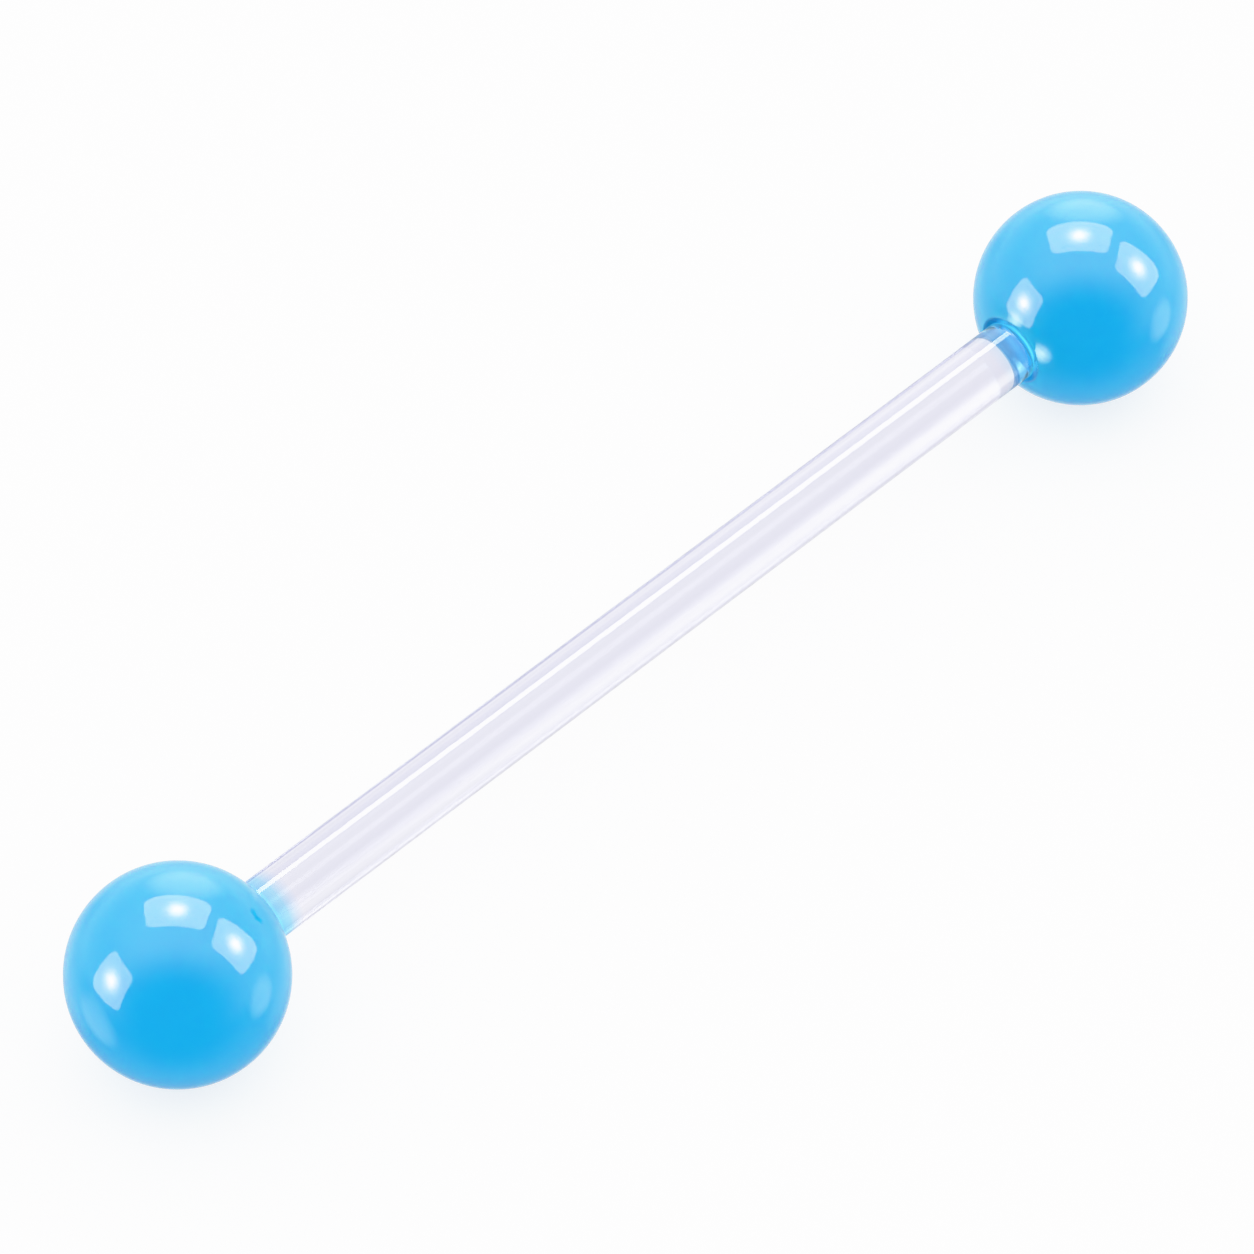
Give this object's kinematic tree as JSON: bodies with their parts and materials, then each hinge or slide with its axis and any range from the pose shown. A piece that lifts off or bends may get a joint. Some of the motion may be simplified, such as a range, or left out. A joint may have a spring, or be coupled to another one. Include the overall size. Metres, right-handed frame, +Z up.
{
  "type": "piercing retainer",
  "caption": "Straight barbell retainer for a piercing: a clear plastic bar with a blue screw-on ball at each end.",
  "frame": {"origin": "on the surface it lies on, straight below the middle of the bar", "axes": "+X along the bar, +Z up from the surface"},
  "size_m": [0.0268, 0.004, 0.004],
  "materials": {
    "clear_plastic": "clear, polished, with a faint lavender tint",
    "blue_acrylic": "polished sky blue"
  },
  "bodies": {
    "bar": {"bar": "clear_plastic"},
    "ball_left": {"ball_left": "blue_acrylic"},
    "ball_right": {"ball_right": "blue_acrylic"}
  },
  "joints": [
    {"name": "ball_left_off", "type": "slide", "parent": "bar", "child": "ball_left", "axis": [-1, 0, 0], "range_m": [0, 0.0032]},
    {"name": "ball_right_off", "type": "slide", "parent": "bar", "child": "ball_right", "axis": [1, 0, 0], "range_m": [0, 0.0032]}
  ]
}
